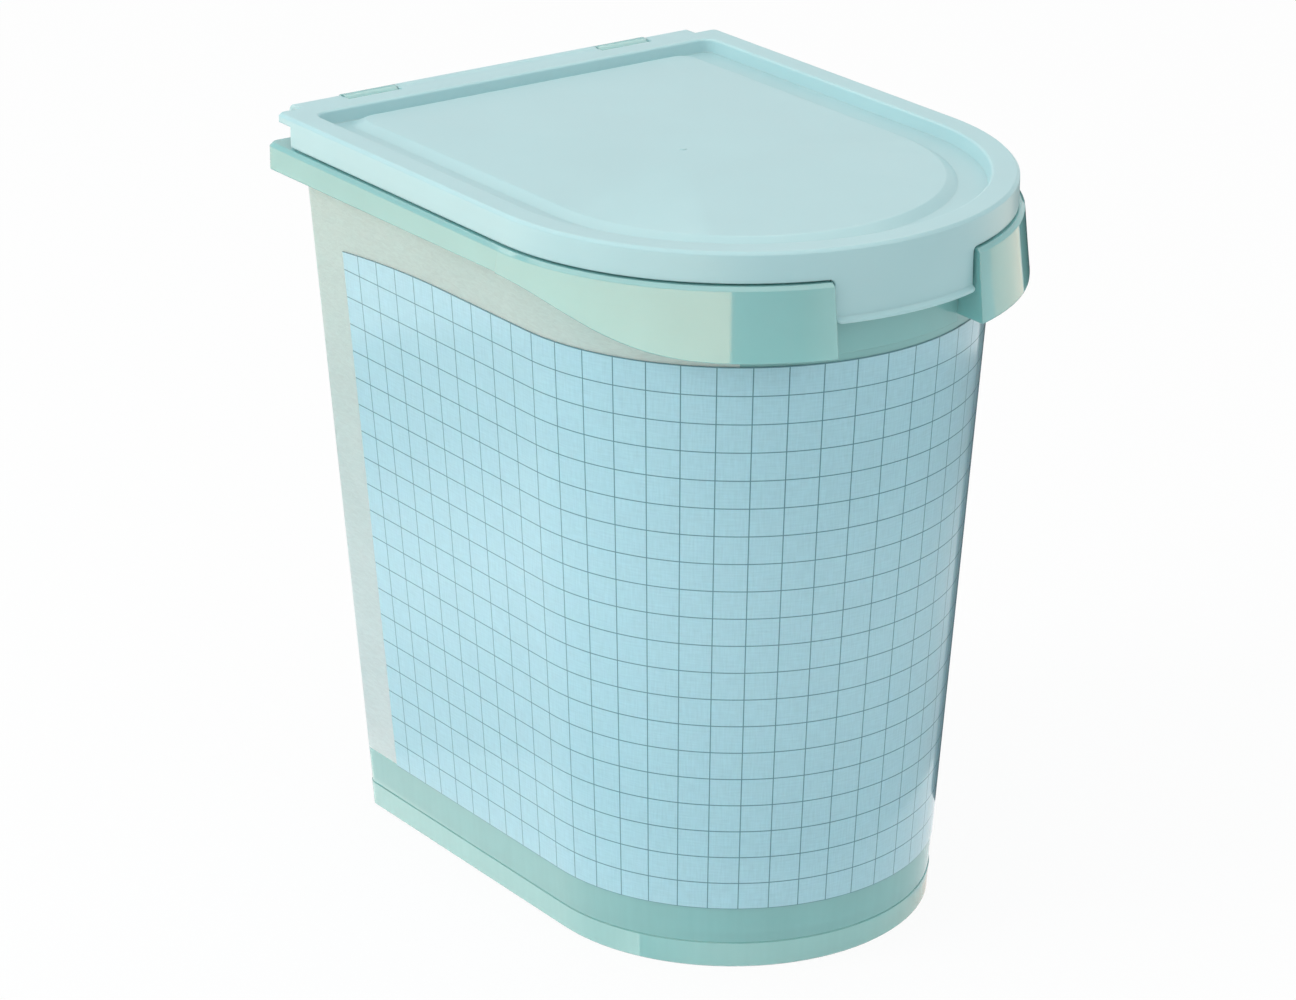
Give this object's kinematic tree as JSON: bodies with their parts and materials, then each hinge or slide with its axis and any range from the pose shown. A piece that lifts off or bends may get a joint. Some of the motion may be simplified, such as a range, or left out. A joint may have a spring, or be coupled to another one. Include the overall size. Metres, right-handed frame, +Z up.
{
  "type": "pet food storage container",
  "caption": "Tall D-shaped lidded storage bin for dry pet food, with a pin-hinged lid, a front pull tab, a grip collar and a grid-printed film.",
  "frame": {"origin": "on the floor, under the centre of the container's bounding box", "axes": "+Z up, +Y towards the hinge at the back, +X to the right seen from the front, where the pull tab is"},
  "size_m": [0.2266, 0.2828, 0.3075],
  "materials": {
    "tub_plastic": "translucent moulded polypropylene, glossy",
    "lid_plastic": "opaque moulded polypropylene, satin",
    "seal_elastomer": "soft moulded elastomer",
    "pin_plastic": "moulded acetal, smooth",
    "printed_film": "pale blue film with a thin dark grid printed on it"
  },
  "bodies": {
    "tub": {"tub": "tub_plastic", "hinge_pin_left": "pin_plastic", "hinge_pin_right": "pin_plastic", "printed_wrap": "printed_film"},
    "lid": {"lid": "lid_plastic", "lid_seal": "seal_elastomer"}
  },
  "joints": [
    {"name": "lid_hinge", "type": "hinge", "parent": "tub", "child": "lid", "pos_m": [0, 0.1369, 0.303], "axis": [-1, 0, 0], "range_deg": [0, 110]}
  ]
}
